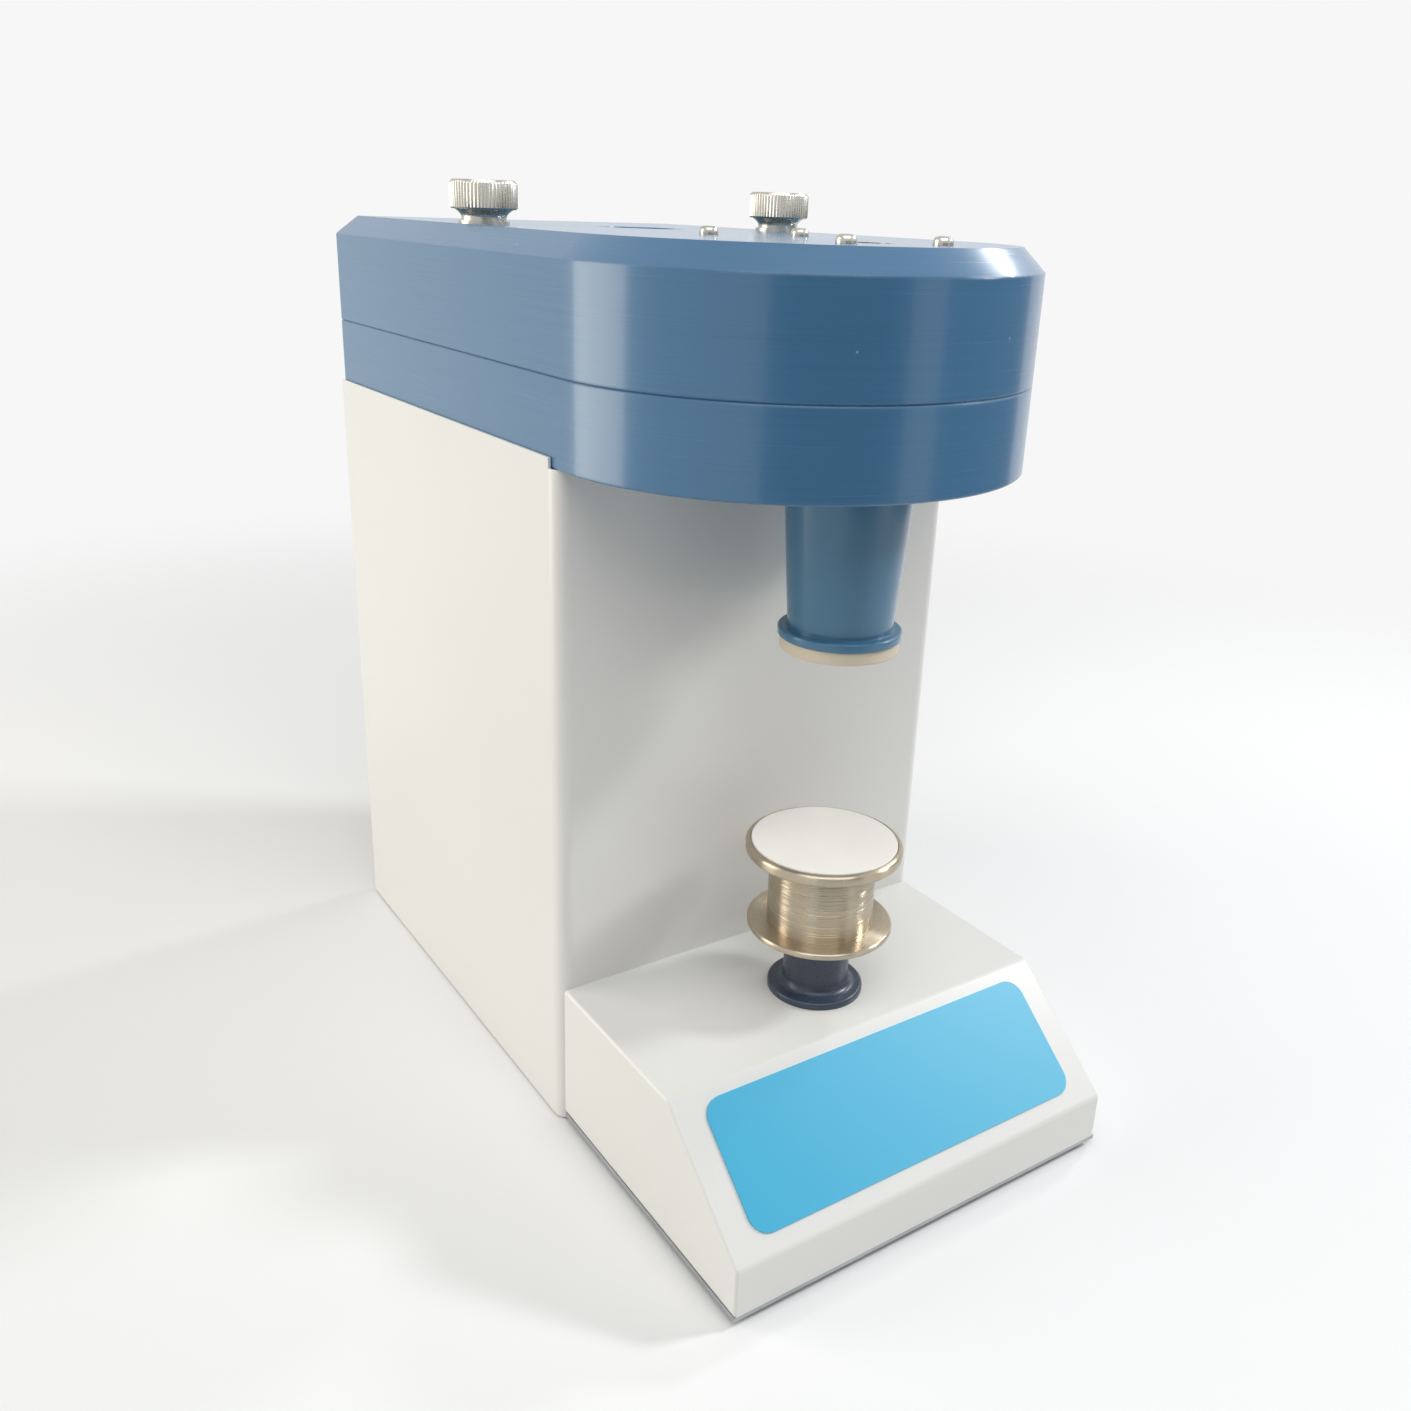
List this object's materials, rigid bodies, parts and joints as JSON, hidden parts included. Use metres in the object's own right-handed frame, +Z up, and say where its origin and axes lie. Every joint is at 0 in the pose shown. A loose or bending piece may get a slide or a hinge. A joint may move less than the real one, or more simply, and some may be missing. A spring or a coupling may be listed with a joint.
{
  "type": "cyclone sample mill",
  "caption": "Bench mill with a D-shaped cast head on a folded cabinet, a cyclone cone under the nose and a sprung bottle tray over a sloping base.",
  "frame": {"origin": "on the surface that the feet stand on, under the middle of the whole machine", "axes": "+Z up, -Y towards the cyclone and the sloping base, +X to the machine's right as seen from the front"},
  "size_m": [0.21, 0.404, 0.4184],
  "materials": {
    "white_powder_coat": "fine textured powder coat",
    "blue_paint": "brushed-on semi-gloss enamel",
    "label_film": "plain satin film plate",
    "turned_nickel": "turned and nickel plated",
    "bright_steel": "bright machined steel",
    "zinc_steel": "zinc plated",
    "cast_aluminium": "cast and machined",
    "motor_paint": "dark motor enamel",
    "laminations": "stacked laminations",
    "copper_winding": "varnished copper",
    "abrasive": "coarse grinding face",
    "ivory_rubber": "smooth ivory pad",
    "cream_rubber": "soft cream rubber",
    "black_rubber": "black rubber",
    "black_plastic": "black moulded plastic",
    "capacitor_can": "drawn can"
  },
  "bodies": {
    "machine": {"bottom_plate": "zinc_steel", "rubber_feet": "black_rubber", "plate_screws": "bright_steel", "cabinet_shell": "white_powder_coat", "side_rails": "zinc_steel", "deck_plate": "zinc_steel", "back_panel": "white_powder_coat", "back_panel_screws": "bright_steel", "base_shell": "white_powder_coat", "name_plate": "label_film", "lower_housing": "blue_paint", "head_bolts": "zinc_steel", "locating_pins": "bright_steel", "chamber_seal": "black_rubber", "shaft_seal": "black_rubber", "grinding_ring": "abrasive", "sieve_ring": "bright_steel", "cyclone_cone": "blue_paint", "cyclone_screws": "bright_steel", "cyclone_gasket": "cream_rubber", "guide_bush": "black_plastic", "bush_nut": "zinc_steel", "motor_housing": "motor_paint", "motor_upper_bracket": "cast_aluminium", "motor_lower_bracket": "cast_aluminium", "motor_bolts": "zinc_steel", "upper_bearing": "bright_steel", "lower_bearing": "bright_steel", "stator_core": "laminations", "stator_windings": "copper_winding", "motor_capacitor": "capacitor_can", "capacitor_clip": "zinc_steel", "power_inlet": "black_plastic", "switch_frame": "black_plastic", "tray_spring": "bright_steel"},
    "rotor": {"motor_shaft": "bright_steel", "rotor_core": "laminations", "cooling_fan": "black_plastic", "impeller": "cast_aluminium", "impeller_nut": "bright_steel"},
    "cover": {"upper_cover": "blue_paint", "duct_plate": "cast_aluminium", "cover_screws": "bright_steel", "chamber_plate": "cast_aluminium", "chamber_plate_screws": "bright_steel", "feed_tube": "bright_steel", "vortex_tube": "bright_steel"},
    "left_knob": {"thumb_screw_left": "bright_steel"},
    "right_knob": {"thumb_screw_right": "bright_steel"},
    "tray": {"sample_tray": "turned_nickel", "tray_pad": "ivory_rubber", "tray_stem": "bright_steel", "stem_clip": "bright_steel"},
    "rocker": {"switch_rocker": "black_plastic"}
  },
  "joints": [
    {"name": "rotor_spin", "type": "hinge", "parent": "machine", "child": "rotor", "pos_m": [0, 0.0565, 0.33], "axis": [0, 0, 1], "continuous": true},
    {"name": "cover_lift", "type": "slide", "parent": "machine", "child": "cover", "axis": [0, 0, 1], "range_m": [0, 0.12]},
    {"name": "left_knob_turn", "type": "hinge", "parent": "cover", "child": "left_knob", "pos_m": [-0.081, 0.0565, 0.41], "axis": [0, 0, 1], "continuous": true},
    {"name": "right_knob_turn", "type": "hinge", "parent": "cover", "child": "right_knob", "pos_m": [0.081, 0.0565, 0.41], "axis": [0, 0, 1], "continuous": true},
    {"name": "tray_press", "type": "slide", "parent": "machine", "child": "tray", "axis": [0, 0, -1], "range_m": [0, 0.024], "stiffness_N_per_m": 600, "springref_m": -0.02, "deforming": ["tray_spring"]},
    {"name": "switch_tilt", "type": "hinge", "parent": "machine", "child": "rocker", "pos_m": [-0.052, 0.1935, 0.092], "axis": [1, 0, 0], "range_deg": [-16, 0]}
  ]
}
